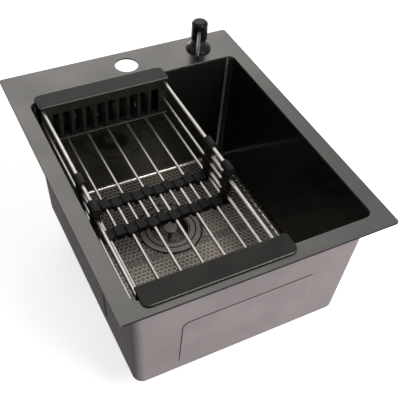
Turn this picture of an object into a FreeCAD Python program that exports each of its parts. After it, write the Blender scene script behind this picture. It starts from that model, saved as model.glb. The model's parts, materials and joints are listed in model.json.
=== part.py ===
"""Drop-in kitchen sink with a basket waste, a soap dispenser and a telescopic drain rack.

Millimetres, +Z up, the front edge along X, the tap ledge at +Y. The origin is the middle of
the deck's footprint, on the underside of the deck, where its sealing strip is stuck.
"""
import FreeCAD
import Part
import os
import re
import Sketcher

from FreeCAD import Placement, Rotation, Vector

SIZES = {
    # Deck panel, a flat plate with the bowl opening and two holes in its rear ledge
    "side_margin": 25, "front_margin": 25, "rear_ledge": 75, "deck_thickness": 3,
    "deck_corner_radius": 5, "deck_edge_radius": 0.8, "tap_hole_radius": 19, "tap_hole_inset": 36,
    "dispenser_inset": 69, "dispenser_hole_radius": 14,
    # Sealing strip under the deck's edge, which lies on the worktop
    "seal_inset": 1.5, "seal_width": 9, "seal_thickness": 1.5,
    # Drawn bowl, which narrows by its taper on every side
    "bowl_width": 350, "bowl_length": 400, "bowl_depth": 213, "bowl_taper": 10, "bowl_wall": 1,
    "bowl_corner_radius": 12, "floor_corner_radius": 14, "bend_radius": 6, "weld_flange": 8,
    # Sound-deadening pads on the outside of the walls
    "pad_thickness": 1.5, "pad_height": 103, "pad_top": 91.5, "pad_corner_radius": 10,
    "long_pad_length": 205, "side_pad_length": 166,
    # Basket waste, measured from the bowl floor
    "drain_shift": 55, "drain_flange_radius": 54.5, "drain_flange_thickness": 1.6,
    "drain_flange_lip": 0.6, "drain_seal_thickness": 1, "waste_radius": 45, "waste_wall": 4,
    "waste_depth": 30, "waste_base": 3, "seat_bore_radius": 43.4, "seat_drop": 2.4,
    "outlet_radius": 23.9, "outlet_bore_radius": 20.5, "outlet_length": 24,
    "floor_hole_clearance": 1, "ring_clearance": 0.3, "gasket_thickness": 3, "gasket_width": 11,
    "friction_thickness": 1, "waste_nut_height": 12, "waste_nut_width": 13,
    "waste_nut_lug": 5, "waste_nut_lug_width": 9,
    # Strainer basket, which lifts out of the waste
    "basket_clearance": 1.2, "rest_gap": 0.2, "basket_rim_thickness": 2, "basket_bore_radius": 31,
    "basket_taper": 5, "basket_wall": 1, "basket_hole_radius": 1.7, "inner_hole_ring": 11,
    "outer_hole_ring": 19, "basket_slot_width": 3, "basket_slot_height": 9,
    "basket_slot_rise": 5, "stopper_thickness": 4, "stopper_overlap": 3, "post_radius": 3,
    "knob_radius": 12.5, "knob_height": 4, "knob_rise": 2.5, "knob_edge_radius": 1.5,
    "post_nut_radius": 9, "post_nut_height": 5,
    # Soap dispenser, heights above the deck's top and depths below it
    "collar_gasket_thickness": 1, "collar_gasket_radius": 19.5, "collar_radius": 21,
    "collar_height": 8, "collar_edge": 2.5, "collar_top_radius": 13.5, "collar_dome_radius": 4,
    "shank_radius": 12.5, "shank_bore_radius": 10.6, "shank_length": 52,
    "dispenser_washer_thickness": 1.5, "dispenser_washer_radius": 19, "dispenser_nut_radius": 18,
    "dispenser_nut_height": 9, "dispenser_nut_lug": 5, "dispenser_nut_lug_width": 6,
    "neck_radius": 11.6, "neck_height": 26.5, "insert_clearance": 0.2, "insert_length": 40,
    "chamber_radius": 7, "chamber_wall": 1.4, "chamber_depth": 72, "chamber_floor": 4,
    "gland_height": 6, "spigot_radius": 2.6, "spigot_length": 10, "inlet_radius": 1.5,
    "stem_radius": 4, "stem_bore_radius": 1.6, "running_clearance": 0.08, "piston_height": 8,
    "piston_radius": 6.4, "piston_groove": 2, "piston_groove_depth": 1.2,
    "spring_wire_radius": 0.6, "spring_coil_radius": 5.2, "ball_radius": 2.4,
    "dip_tube_radius": 4, "dip_tube_end": 6, "bottle_radius": 31, "bottle_wall": 1.4,
    "bottle_height": 118, "bottle_shoulder": 14, "bottle_neck_height": 16, "bottle_edge_radius": 6,
    "head_radius": 13.4, "head_height": 52, "head_skirt": 20, "head_bore_radius": 12.1,
    "head_ceiling": 37.5, "stem_socket": 4, "head_edge_radius": 5,
    "spout_radius": 2.7, "spout_bore_radius": 1.8, "spout_level": 41, "spout_root": 6.5,
    "spout_reach": 72, "spout_bend_radius": 8, "spout_drop": 4,
    "nozzle_radius": 3.6, "nozzle_length": 6, "nozzle_cover": 3.5,
    # Drain rack: two end frames on the rim, rods and two bands that slide along them
    "rack_gap": 9.5, "rim_gap": 0.2, "cap_length": 214, "cap_width": 33, "cap_thickness": 3,
    "cap_outer_radius": 10, "cap_inner_radius": 3, "cap_edge_radius": 1.4, "rear_overlap": 11.6,
    "front_overlap": 14.4, "panel_setback": 3, "panel_thickness": 5, "panel_inset": 1.5,
    "panel_depth": 76, "foot_reach": 3, "foot_height": 10, "slot_pitch": 18.6, "slot_width": 12,
    "slot_top": 17, "slot_bottom": 64, "rod_pitch": 16.75, "rear_rod_radius": 2.3,
    "front_rod_radius": 2.75, "rail_radius": 3,
    "rail_depth": 7.5, "side_pitch": 17, "rack_depth": 71.5, "rod_seat": 3.5, "seat_clearance": 0.05,
    "slide_clearance": 0.3, "band_width": 21, "band_step": 3, "band_thickness": 5,
    "block_width": 12, "block_height": 10, "lug_radius": 7, "band_gap": 35, "band_shift": 5.6,
    "rod_end_wall": 3,
    # One overrun serves all cuts
    "overrun": 2,
}
ANGLES = {"spout_turn_degrees": 29}
FLOOR_RODS = 13
SIDE_RODS = 4
COMB_SLOTS = 10
SPRING_TURNS = 7
ARCS_PER_TURN = 4
BASKET_SLOTS = 14
INNER_HOLES = 6
OUTER_HOLES = 12
NUT_LUGS = 8
WING_LUGS = 4
LEVEL_TOLERANCE_SHARE = 0.01

os.makedirs("parts", exist_ok=True)
doc = FreeCAD.newDocument("KitchenSink")
sheet = doc.addObject("Spreadsheet::Sheet", "Sizes")
for row, (alias, size) in enumerate({**SIZES, **ANGLES}.items(), start=1):
    sheet.set(f"A{row}", alias)
    sheet.set(f"B{row}", str(size))
    sheet.setAlias(f"B{row}", alias)
doc.recompute()
nodes = []

# Places that several pieces share, as formulas of the sheet's sizes
DECK_WIDTH = "(bowl_width + 2 * side_margin)"
DECK_DEPTH = "(front_margin + bowl_length + rear_ledge)"
BOWL_Y = "((front_margin - rear_ledge) / 2)"
FLOOR_Z = "(deck_thickness - bowl_depth)"
LEDGE_Y = f"({DECK_DEPTH} / 2 - tap_hole_inset)"
DISPENSER_X = f"({DECK_WIDTH} / 2 - dispenser_inset)"
DRAIN_Y = f"({BOWL_Y} + drain_shift)"
WASTE_BASE_Z = f"({FLOOR_Z} - waste_depth)"
BASE_TOP_Z = f"({WASTE_BASE_Z} + waste_base)"
FLANGE_TOP_Z = f"({FLOOR_Z} + drain_seal_thickness + drain_flange_thickness)"
SHOULDER_Z = f"({FLANGE_TOP_Z} - seat_drop)"
BASKET_BASE_Z = f"({BASE_TOP_Z} + rest_gap + stopper_thickness)"
COLLAR_Z = "(deck_thickness + collar_gasket_thickness)"
COLLAR_TOP_Z = f"({COLLAR_Z} + collar_height)"
PISTON_TOP_Z = "(deck_thickness - gland_height - rest_gap)"
CHAMBER_FLOOR_Z = "(deck_thickness - chamber_depth + chamber_floor)"
BOTTLE_TOP_Z = "(deck_thickness - shank_length + bottle_neck_height)"
RACK_X = "(rack_gap + cap_length / 2 - bowl_width / 2)"
REAR_CAP_Y = f"({BOWL_Y} + bowl_length / 2 + rear_overlap - cap_width)"
FRONT_CAP_Y = f"({BOWL_Y} - bowl_length / 2 - front_overlap + cap_width)"
RACK_Y = f"(({REAR_CAP_Y} + {FRONT_CAP_Y}) / 2)"
REAR_BAND_Y = f"({RACK_Y} - band_shift + band_gap / 2)"
FRONT_BAND_Y = f"({RACK_Y} - band_shift - band_gap / 2 - band_width)"
ROD_FLOOR_Z = "(deck_thickness - rack_depth)"


def formula(text):
    """Turn a size formula into an expression that reads the sheet."""
    return re.sub(r"\b([a-z][a-z_]+)\b", r"Sizes.\1", text)


def number(text):
    """The present value of a size formula."""
    return float(sheet.evalExpression(formula(text)))


def bind(thing, **settings):
    for key, text in settings.items():
        thing.setExpression(key.replace("__", "."), formula(text))
    return thing


def place(thing, x="0", y="0", z="0", turn=None):
    """Put a piece at x, y, z, turned by a rotation first."""
    spot = Vector(number(x), number(y), number(z))
    thing.Placement = Placement(spot, turn or Rotation())
    bind(thing, Placement__Base__x=x, Placement__Base__y=y, Placement__Base__z=z)
    return thing


def node(thing, name):
    thing.Label = name
    nodes.append(thing)
    return thing


def new_body(name):
    return node(doc.addObject("PartDesign::Body", name), name)


def new_sketch(body, plane, offset="0"):
    sketch = body.newObject("Sketcher::SketchObject", "outline")
    origin = [item for item in body.Origin.OriginFeatures if item.Role == plane][0]
    sketch.AttachmentSupport = [(origin, "")]
    sketch.MapMode = "FlatFace"
    bind(sketch, AttachmentOffset__Base__z=offset)
    return sketch


def fix_point(sketch, geometry, point, x, y):
    """Hold a sketch point at x, y from the sketch's origin."""
    for kind, text in (("DistanceX", x), ("DistanceY", y)):
        rule = sketch.addConstraint(Sketcher.Constraint(kind, -1, 1, geometry, point, number(text)))
        sketch.setExpression(f"Constraints[{rule}]", formula(text))


def outline(sketch, points):
    """A closed outline of straight lines through points of size formulas."""
    first = sketch.GeometryCount
    spots = [Vector(number(x), number(y), 0) for x, y in points]
    for index, spot in enumerate(spots):
        sketch.addGeometry(Part.LineSegment(spot, spots[(index + 1) % len(spots)]))
    for index, (x, y) in enumerate(points):
        following = first + (index + 1) % len(points)
        sketch.addConstraint(Sketcher.Constraint("Coincident", first + index, 2, following, 1))
        fix_point(sketch, first + index, 1, x, y)


def rectangle(sketch, left, right, low, high):
    outline(sketch, [(left, low), (right, low), (right, high), (left, high)])


def rounded_rectangle(sketch, width, length, radius, x="0", y="0"):
    first = sketch.GeometryCount
    half_x, half_y, round_by = number(f"({width}) / 2"), number(f"({length}) / 2"), number(radius)
    mid = Vector(number(x), number(y), 0)
    corners = ((1, -1), (1, 1), (-1, 1), (-1, -1))
    centres = [mid + Vector(a * (half_x - round_by), b * (half_y - round_by), 0) for a, b in corners]
    arcs = []
    for index, centre in enumerate(centres):
        start = Rotation(Vector(0, 0, 1), 90 * (index - 1)).multVec(Vector(round_by, 0, 0))
        middle = Rotation(Vector(0, 0, 1), 90 * (index - 1) + 45).multVec(Vector(round_by, 0, 0))
        end = Rotation(Vector(0, 0, 1), 90 * index).multVec(Vector(round_by, 0, 0))
        arcs.append((centre + start, centre + middle, centre + end))
    for index, (start, middle, end) in enumerate(arcs):
        sketch.addGeometry(Part.Arc(start, middle, end))
        sketch.addGeometry(Part.LineSegment(end, arcs[(index + 1) % len(arcs)][0]))
    for index, (a, b) in enumerate(corners):
        arc = first + 2 * index
        following = first + 2 * ((index + 1) % len(corners))
        sketch.addConstraint(Sketcher.Constraint("Tangent", arc, 2, arc + 1, 1))
        sketch.addConstraint(Sketcher.Constraint("Tangent", arc + 1, 2, following, 1))
        fix_point(sketch, arc, 3, f"{x} + {a} * (({width}) / 2 - {radius})",
                  f"{y} + {b} * (({length}) / 2 - {radius})")
        rule = sketch.addConstraint(Sketcher.Constraint("Radius", arc, round_by))
        sketch.setExpression(f"Constraints[{rule}]", formula(radius))


def circle(sketch, x, y, radius):
    shape = Part.Circle(Vector(number(x), number(y), 0), Vector(0, 0, 1), number(radius))
    geometry = sketch.addGeometry(shape)
    fix_point(sketch, geometry, 3, x, y)
    rule = sketch.addConstraint(Sketcher.Constraint("Radius", geometry, number(radius)))
    sketch.setExpression(f"Constraints[{rule}]", formula(radius))


def feature(body, kind, profile, **settings):
    item = body.newObject(f"PartDesign::{kind}", kind)
    item.Profile = profile
    bind(item, **settings)
    body.Tip = item
    return item


def pattern(body, kind, original, count, **settings):
    item = body.newObject(f"PartDesign::{kind}", kind)
    item.Originals = [original]
    item.Occurrences = count
    for key, setting in settings.items():
        setattr(item, key, setting)
    body.Tip = item
    return item


def round_edges(body, radius, wanted):
    """Round the edges of the body's last feature that a test picks out by their boxes."""
    doc.recompute()
    base = body.Tip
    names = [f"Edge{count}" for count, edge in enumerate(base.Shape.Edges, start=1)
             if wanted(edge.BoundBox)]
    item = body.newObject("PartDesign::Fillet", "Fillet")
    item.Base = (base, names)
    bind(item, Radius=radius)
    body.Tip = item


def level(z):
    """A test for edges that lie flat at a height."""
    tolerance = number("overrun") * LEVEL_TOLERANCE_SHARE
    height = number(z)
    return lambda span: max(abs(span.ZMin - height), abs(span.ZMax - height)) < tolerance


def turned(name, points, x="0", y="0"):
    """A piece of revolution about a vertical axis, from a profile of radii and heights."""
    body = new_body(name)
    profile = new_sketch(body, "XZ_Plane")
    outline(profile, points)
    spin = feature(body, "Revolution", profile)
    spin.ReferenceAxis = (profile, ["V_Axis"])
    spin.Angle = 360
    place(body, x, y)
    return body


def ring(name, inner, outer, low, high, x="0", y="0"):
    return turned(name, [(inner, low), (outer, low), (outer, high), (inner, high)], x, y)


def lugged_nut(name, inner, outer, low, high, lug, lug_width, count, x, y):
    """A ring nut with lugs around it to turn it by."""
    body = ring(name, inner, outer, low, high, x, y)
    sketch = new_sketch(body, "XY_Plane", low)
    rectangle(sketch, f"({inner} + {outer}) / 2", f"{outer} + {lug}",
              f"-{lug_width} / 2", f"{lug_width} / 2")
    pad = feature(body, "Pad", sketch, Length=f"({high}) - ({low})")
    doc.recompute()
    pattern(body, "PolarPattern", pad, count, Axis=(sketch, ["N_Axis"]), Angle=360)
    return body


def cylinder(name, radius, height, x, y, z, turn=None):
    item = doc.addObject("Part::Cylinder", name)
    bind(item, Radius=radius, Height=height)
    return place(item, x, y, z, turn)


def box(name, x, y, z, length, width, height):
    item = doc.addObject("Part::Box", name)
    bind(item, Length=length, Width=width, Height=height)
    return place(item, x, y, z)


def make_deck():
    body = new_body("deck")
    sketch = new_sketch(body, "XY_Plane")
    rounded_rectangle(sketch, DECK_WIDTH, DECK_DEPTH, "deck_corner_radius")
    rounded_rectangle(sketch, "bowl_width", "bowl_length", "bowl_corner_radius", "0", BOWL_Y)
    circle(sketch, "0", LEDGE_Y, "tap_hole_radius")
    circle(sketch, DISPENSER_X, LEDGE_Y, "dispenser_hole_radius")
    feature(body, "Pad", sketch, Length="deck_thickness")
    top = level("deck_thickness")
    side = number(f"{DECK_WIDTH} / 2 - deck_corner_radius")
    end = number(f"{DECK_DEPTH} / 2 - deck_corner_radius")
    round_edges(body, "deck_edge_radius", lambda span: top(span) and (
        max(-span.XMin, span.XMax) > side or max(-span.YMin, span.YMax) > end))


def make_rim_seal():
    body = new_body("rim_seal")
    sketch = new_sketch(body, "XY_Plane")
    for inset in ("seal_inset", "(seal_inset + seal_width)"):
        rounded_rectangle(sketch, f"{DECK_WIDTH} - 2 * {inset}", f"{DECK_DEPTH} - 2 * {inset}",
                          "deck_corner_radius")
    feature(body, "Pad", sketch, Length="seal_thickness").Reversed = True


def make_bowl():
    body = new_body("bowl")
    bottom_z = f"{FLOOR_Z} - bowl_wall"

    def section(z, inset, wall, radius):
        sketch = new_sketch(body, "XY_Plane", z)
        rounded_rectangle(sketch, f"bowl_width - 2 * {inset} + 2 * {wall}",
                          f"bowl_length - 2 * {inset} + 2 * {wall}", f"({radius} + {wall})", "0", BOWL_Y)
        return sketch

    outside = feature(body, "AdditiveLoft", section("0", "0", "bowl_wall", "bowl_corner_radius"))
    outside.Sections = [section(bottom_z, "bowl_taper", "bowl_wall", "floor_corner_radius")]
    outside.Ruled = True
    flange = section("0", "0", "(bowl_wall + weld_flange)", "bowl_corner_radius")
    feature(body, "Pad", flange, Length="bowl_wall").Reversed = True
    inside = feature(body, "SubtractiveLoft", section("0", "0", "0", "bowl_corner_radius"))
    inside.Sections = [section(FLOOR_Z, "bowl_taper", "0", "floor_corner_radius")]
    inside.Ruled = True
    round_edges(body, "bend_radius", level(FLOOR_Z))
    round_edges(body, "bend_radius + bowl_wall", level(bottom_z))
    hole = new_sketch(body, "XY_Plane", f"{FLOOR_Z} + overrun")
    circle(hole, "0", DRAIN_Y, "waste_radius + floor_hole_clearance")
    feature(body, "Pocket", hole, Length="bowl_wall + 2 * overrun")


def make_sound_pads():
    """Pads lie on the outside of the walls, which lean in by the taper."""
    fall = number("bowl_depth - deck_thickness + bowl_wall")
    lean = Rotation(Vector(0, 0, 1), Vector(0, -number("bowl_taper"), fall))
    walls = {
        "sound_pad_front": (0, "long_pad_length", "0", f"{BOWL_Y} - bowl_length / 2 - bowl_wall"),
        "sound_pad_right": (90, "side_pad_length", "bowl_width / 2 + bowl_wall", BOWL_Y),
        "sound_pad_rear": (180, "long_pad_length", "0", f"{BOWL_Y} + bowl_length / 2 + bowl_wall"),
        "sound_pad_left": (270, "side_pad_length", "-(bowl_width / 2 + bowl_wall)", BOWL_Y),
    }
    for name, (turn, length, x, y) in walls.items():
        body = new_body(name)
        sketch = new_sketch(body, "XZ_Plane")
        rounded_rectangle(sketch, length, "pad_height", "pad_corner_radius", "0",
                          "deck_thickness - pad_top - pad_height / 2")
        feature(body, "Pad", sketch, Length="pad_thickness")
        place(body, x, y, "0", Rotation(Vector(0, 0, 1), turn).multiply(lean))


def make_waste():
    bore = "(waste_radius - waste_wall)"
    clear = "(waste_radius + ring_clearance)"
    under = f"({FLOOR_Z} - bowl_wall)"
    outlet_end = f"{WASTE_BASE_Z} - outlet_length"
    turned("waste_body", [
        ("seat_bore_radius", FLANGE_TOP_Z), ("seat_bore_radius", SHOULDER_Z), (bore, SHOULDER_Z),
        (bore, BASE_TOP_Z), ("outlet_bore_radius", BASE_TOP_Z), ("outlet_bore_radius", outlet_end),
        ("outlet_radius", outlet_end), ("outlet_radius", WASTE_BASE_Z),
        ("waste_radius", WASTE_BASE_Z), ("waste_radius", f"{FLOOR_Z} + drain_seal_thickness"),
        ("drain_flange_radius", f"{FLOOR_Z} + drain_seal_thickness"),
        ("drain_flange_radius", f"{FLOOR_Z} + drain_seal_thickness + drain_flange_lip"),
        ("(drain_flange_radius + seat_bore_radius) / 2", FLANGE_TOP_Z)], "0", DRAIN_Y)
    ring("flange_seal", f"{clear} + floor_hole_clearance", "drain_flange_radius - drain_flange_lip",
         FLOOR_Z, f"{FLOOR_Z} + drain_seal_thickness", "0", DRAIN_Y)
    low = f"({under} - gasket_thickness)"
    ring("waste_gasket", clear, f"{clear} + gasket_width", low, under, "0", DRAIN_Y)
    lower = f"({low} - friction_thickness)"
    ring("friction_ring", clear, f"{clear} + gasket_width", lower, low, "0", DRAIN_Y)
    lugged_nut("waste_nut", clear, f"({clear} + waste_nut_width)", f"{lower} - waste_nut_height", lower,
               "waste_nut_lug", "waste_nut_lug_width", NUT_LUGS, "0", DRAIN_Y)


def make_basket():
    rim_z = f"({SHOULDER_Z} + rest_gap)"
    rim_top = f"({rim_z} + basket_rim_thickness)"
    base_bore = "(basket_bore_radius - basket_taper)"
    floor_top = f"({BASKET_BASE_Z} + basket_wall)"
    post_hole = "(post_radius + seat_clearance)"
    body = turned("strainer_basket", [
        ("seat_bore_radius - basket_clearance", rim_z), ("seat_bore_radius - basket_clearance", rim_top),
        ("basket_bore_radius", rim_top), (base_bore, floor_top), (post_hole, floor_top),
        (post_hole, BASKET_BASE_Z), (f"{base_bore} + basket_wall", BASKET_BASE_Z),
        ("basket_bore_radius + basket_wall", rim_z)], "0", DRAIN_Y)
    for radius, count in (("inner_hole_ring", INNER_HOLES), ("outer_hole_ring", OUTER_HOLES)):
        holes = new_sketch(body, "XY_Plane", f"{floor_top} + overrun")
        circle(holes, radius, "0", "basket_hole_radius")
        pocket = feature(body, "Pocket", holes, Length="basket_wall + 2 * overrun")
        doc.recompute()
        pattern(body, "PolarPattern", pocket, count, Axis=(holes, ["N_Axis"]), Angle=360)
    slot = new_sketch(body, "XZ_Plane")
    slot_low = f"{floor_top} + basket_slot_rise"
    rectangle(slot, f"{base_bore} - overrun", "basket_bore_radius + basket_wall + overrun",
              slot_low, f"{slot_low} + basket_slot_height")
    cut = feature(body, "Pocket", slot, Length="basket_slot_width")
    cut.Midplane = True
    doc.recompute()
    pattern(body, "PolarPattern", cut, BASKET_SLOTS, Axis=(slot, ["V_Axis"]), Angle=360)
    seal_low = f"({BASE_TOP_Z} + rest_gap)"
    ring("stopper_seal", post_hole, "outlet_bore_radius + stopper_overlap", seal_low,
         f"{seal_low} + stopper_thickness", "0", DRAIN_Y)
    ring("post_nut", post_hole, "post_nut_radius", f"{seal_low} - post_nut_height", seal_low,
         "0", DRAIN_Y)
    knob_top = f"({FLANGE_TOP_Z} + knob_rise)"
    knob = turned("strainer_knob", [
        ("0", f"{seal_low} - post_nut_height"), ("post_radius", f"{seal_low} - post_nut_height"),
        ("post_radius", floor_top), ("post_radius + basket_wall", floor_top),
        ("post_radius + basket_wall", f"{knob_top} - knob_height"),
        ("knob_radius", f"{knob_top} - knob_height / 2"), ("knob_radius", knob_top), ("0", knob_top)],
        "0", DRAIN_Y)
    round_edges(knob, "knob_edge_radius", level(knob_top))


def make_dispenser():
    spot = (DISPENSER_X, LEDGE_Y)
    ring("collar_gasket", "shank_radius + ring_clearance", "collar_gasket_radius", "deck_thickness",
         COLLAR_Z, *spot)
    shank_end = "deck_thickness - shank_length"
    collar = turned("dispenser_collar", [
        ("shank_bore_radius", COLLAR_TOP_Z), ("shank_bore_radius", shank_end),
        ("shank_radius", shank_end), ("shank_radius", COLLAR_Z), ("collar_radius", COLLAR_Z),
        ("collar_radius", f"{COLLAR_Z} + collar_edge"), ("collar_top_radius", COLLAR_TOP_Z)], *spot)
    round_edges(collar, "collar_dome_radius", level(f"{COLLAR_Z} + collar_edge"))
    washer_low = "(-dispenser_washer_thickness)"
    thread = "(shank_radius + ring_clearance)"
    ring("dispenser_washer", thread, "dispenser_washer_radius", washer_low, "0", *spot)
    lugged_nut("dispenser_nut", thread, "dispenser_nut_radius", f"({washer_low} - dispenser_nut_height)",
               washer_low, "dispenser_nut_lug", "dispenser_nut_lug_width", WING_LUGS, *spot)
    make_bottle(spot, thread)
    make_pump(spot)
    make_head(spot)


def make_bottle(spot, thread):
    low = f"{BOTTLE_TOP_Z} - bottle_height"
    shoulder = f"{BOTTLE_TOP_Z} - bottle_neck_height"
    inside = "(bottle_radius - bottle_wall)"
    bottle = turned("bottle", [
        (thread, BOTTLE_TOP_Z), (f"{thread} + bottle_wall", BOTTLE_TOP_Z),
        (f"{thread} + bottle_wall", shoulder), ("bottle_radius", f"{shoulder} - bottle_shoulder"),
        ("bottle_radius", low), ("0", low), ("0", f"{low} + bottle_wall"),
        (inside, f"{low} + bottle_wall"), (inside, f"{shoulder} - bottle_shoulder - bottle_wall"),
        (thread, f"{shoulder} - bottle_wall")], *spot)
    round_edges(bottle, "bottle_edge_radius", level(low))


def make_pump(spot):
    insert = "(shank_bore_radius - insert_clearance)"
    insert_end = "deck_thickness - insert_length"
    tube = "(chamber_radius + chamber_wall)"
    chamber_end = "(deck_thickness - chamber_depth)"
    spigot_end = f"{chamber_end} - spigot_length"
    gland = "(stem_radius + running_clearance)"
    seat_z = f"{CHAMBER_FLOOR_Z} - ball_radius"
    turned("pump_housing", [
        (gland, "deck_thickness + neck_height"), ("neck_radius", "deck_thickness + neck_height"),
        ("neck_radius", COLLAR_TOP_Z), (insert, COLLAR_TOP_Z), (insert, insert_end), (tube, insert_end),
        (tube, chamber_end), ("spigot_radius", chamber_end), ("spigot_radius", spigot_end),
        ("inlet_radius", spigot_end), ("inlet_radius", seat_z), ("ball_radius + seat_clearance", seat_z),
        ("ball_radius + seat_clearance", CHAMBER_FLOOR_Z), ("chamber_radius", CHAMBER_FLOOR_Z),
        ("chamber_radius", "deck_thickness - gland_height"), (gland, "deck_thickness - gland_height")],
        *spot)
    ball = node(doc.addObject("Part::Sphere", "check_ball"), "check_ball")
    bind(ball, Radius="ball_radius")
    place(ball, *spot, f"{seat_z} + ball_radius")
    tube_low = f"{BOTTLE_TOP_Z} - bottle_height + bottle_wall + dip_tube_end"
    ring("dip_tube", "spigot_radius + seat_clearance", "dip_tube_radius", tube_low, chamber_end, *spot)
    piston_low = f"({PISTON_TOP_Z} - piston_height)"
    groove = f"({PISTON_TOP_Z} - (piston_height + piston_groove) / 2)"
    floor_of_groove = "piston_radius - piston_groove_depth"
    turned("plunger", [
        ("stem_bore_radius", "deck_thickness + head_ceiling + stem_socket"),
        ("stem_radius", "deck_thickness + head_ceiling + stem_socket"), ("stem_radius", PISTON_TOP_Z),
        ("piston_radius", PISTON_TOP_Z), ("piston_radius", f"{groove} + piston_groove"),
        (floor_of_groove, f"{groove} + piston_groove"), (floor_of_groove, groove),
        ("piston_radius", groove), ("piston_radius", piston_low), ("stem_bore_radius", piston_low)],
        *spot)
    ring("piston_seal", f"{floor_of_groove} + seat_clearance", "chamber_radius - running_clearance",
         f"{groove} + seat_clearance", f"{groove} + piston_groove - seat_clearance", *spot)
    make_spring(spot, piston_low)


def make_spring(spot, top):
    """A compression spring of round wire, swept along arcs of a quarter turn on its helix."""
    wire = number("spring_wire_radius")
    coil = number("spring_coil_radius")
    low = number(f"{CHAMBER_FLOOR_Z} + seat_clearance") + wire
    high = number(f"{top} - seat_clearance") - wire
    steps = ARCS_PER_TURN * SPRING_TURNS

    def helix(step):
        turn = Rotation(Vector(0, 0, 1), 360 * step / ARCS_PER_TURN)
        return turn.multVec(Vector(coil, 0, 0)) + Vector(0, 0, low + (high - low) * step / steps)

    arcs = [Part.Arc(helix(step), helix(step + 1 / 2), helix(step + 1)).toShape()
            for step in range(steps)]
    path = Part.Wire(arcs)
    start = path.Edges[0]
    section = Part.Wire(Part.makeCircle(wire, helix(0), start.tangentAt(start.FirstParameter)))
    spring = node(doc.addObject("Part::Feature", "pump_spring"), "pump_spring")
    spring.Shape = path.makePipeShell([section], True, False)
    place(spring, *spot)
    print("pump spring, gap between turns", round((high - low) / SPRING_TURNS - 2 * wire, 2))


def make_head(spot):
    """The press head, its spout and nozzle, drawn with the spout along X and then turned to the bowl."""
    turn = Rotation(Vector(0, 0, 1), -90 - number("spout_turn_degrees"))
    top = "deck_thickness + head_height"
    socket = "(stem_radius + running_clearance)"
    ceiling = "(deck_thickness + head_ceiling)"
    head = turned("pump_head", [
        ("0", top), ("head_radius", top), ("head_radius", "deck_thickness + head_skirt"),
        ("head_bore_radius", "deck_thickness + head_skirt"), ("head_bore_radius", ceiling),
        (socket, ceiling), (socket, f"{ceiling} + stem_socket"), ("0", f"{ceiling} + stem_socket")],
        *spot)
    round_edges(head, "head_edge_radius", level(top))
    level_z = "(deck_thickness + spout_level)"
    for root, radius in (("spout_root", "spout_radius + seat_clearance"), ("0", "spout_bore_radius")):
        hole = new_sketch(head, "YZ_Plane", root)
        circle(hole, "0", level_z, radius)
        feature(head, "Pocket", hole, Length="head_radius").Reversed = True
    place(head, *spot, "0", turn)

    spout = new_body("spout")
    bend_x = "(spout_reach - spout_bend_radius)"
    bend_z = f"({level_z} - spout_bend_radius)"
    arm = new_sketch(spout, "YZ_Plane", "spout_root")
    tube_section(arm, "0", level_z)
    feature(spout, "Pad", arm, Length=f"{bend_x} - spout_root")
    elbow = new_sketch(spout, "YZ_Plane", bend_x)
    tube_section(elbow, "0", level_z)
    half_line, line_z = number("spout_radius"), number(bend_z)
    hinge_line = elbow.addGeometry(
        Part.LineSegment(Vector(-half_line, line_z, 0), Vector(half_line, line_z, 0)), True)
    fix_point(elbow, hinge_line, 1, "-spout_radius", bend_z)
    fix_point(elbow, hinge_line, 2, "spout_radius", bend_z)
    sweep = feature(spout, "Revolution", elbow)
    sweep.ReferenceAxis = (elbow, ["Axis0"])
    sweep.Angle = 90
    drop = new_sketch(spout, "XY_Plane", bend_z)
    tube_section(drop, "spout_reach", "0")
    feature(spout, "Pad", drop, Length="spout_drop").Reversed = True
    place(spout, *spot, "0", turn)

    nozzle = new_body("nozzle")
    tip = new_sketch(nozzle, "XY_Plane", f"{bend_z} - spout_drop + nozzle_cover - nozzle_length")
    circle(tip, "spout_reach", "0", "nozzle_radius")
    circle(tip, "spout_reach", "0", "spout_radius + seat_clearance")
    feature(nozzle, "Pad", tip, Length="nozzle_length")
    place(nozzle, *spot, "0", turn)


def tube_section(sketch, x, y):
    circle(sketch, x, y, "spout_radius")
    circle(sketch, x, y, "spout_bore_radius")


def rack_rods():
    """Every rod as its name, half, place across the rack, height from the deck's top and radius.

    Going round the U, the rods belong to the rear half and the front half by turns.
    """
    halves = ("rear", "front")
    corner = FLOOR_RODS // 2
    rods = []
    for side, sign in (("left", -1), ("right", 1)):
        for count in range(SIDE_RODS):
            half, kind = halves[count % 2], ("rail", "rod")[count // 2]
            radius = {"rail": "rail_radius", "rod": f"{half}_rod_radius"}[kind]
            rods.append((f"{half}_{side}_{kind}", half, f"({sign} * {corner} * rod_pitch)",
                         f"(-rail_depth - {count} * side_pitch)", radius))
    for count in range(FLOOR_RODS):
        half = halves[count % 2]
        rods.append((f"{half}_floor_rod_{count // 2 + 1}", half, f"({count - corner} * rod_pitch)",
                     "(-rack_depth)", f"{half}_rod_radius"))
    return rods


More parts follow.
